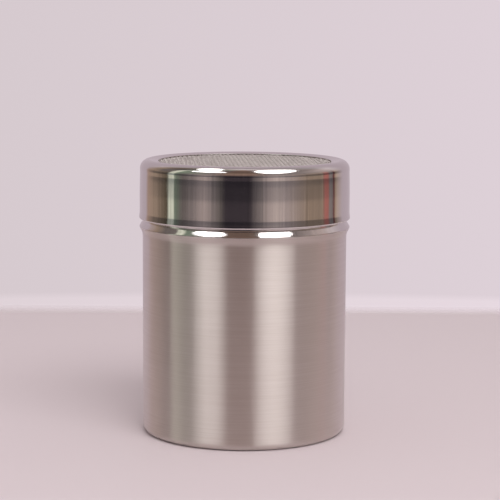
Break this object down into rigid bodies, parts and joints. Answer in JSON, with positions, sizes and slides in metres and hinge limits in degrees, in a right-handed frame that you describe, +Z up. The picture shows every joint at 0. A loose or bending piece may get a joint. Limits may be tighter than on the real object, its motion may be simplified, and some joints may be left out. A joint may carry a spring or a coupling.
{
  "type": "chocolate shaker",
  "caption": "Cylindrical stainless steel shaker: a brushed cup with a rolled bead and a polished push-on lid that holds a fine woven wire screen.",
  "frame": {"origin": "middle of the cup's standing foot, on the surface the shaker stands on", "axes": "+Z up along the axis of the cup and lid; the shaker is round, so X and Y are alike"},
  "size_m": [0.0706, 0.0706, 0.0915],
  "materials": {
    "cup_steel": "stainless steel, finely brushed round the wall, with a polished bead and neck",
    "lid_steel": "stainless steel polished to a mirror",
    "ring_steel": "stainless steel as rolled, satin",
    "screen_wire": "plain-woven stainless steel wire cloth"
  },
  "bodies": {
    "cup": {"body_cup": "cup_steel"},
    "lid": {"lid_shell": "lid_steel", "clamp_ring": "ring_steel", "mesh_screen": "screen_wire"}
  },
  "joints": [
    {"name": "lid_lift", "type": "slide", "parent": "cup", "child": "lid", "axis": [0, 0, 1], "range_m": [0, 0.025]}
  ]
}
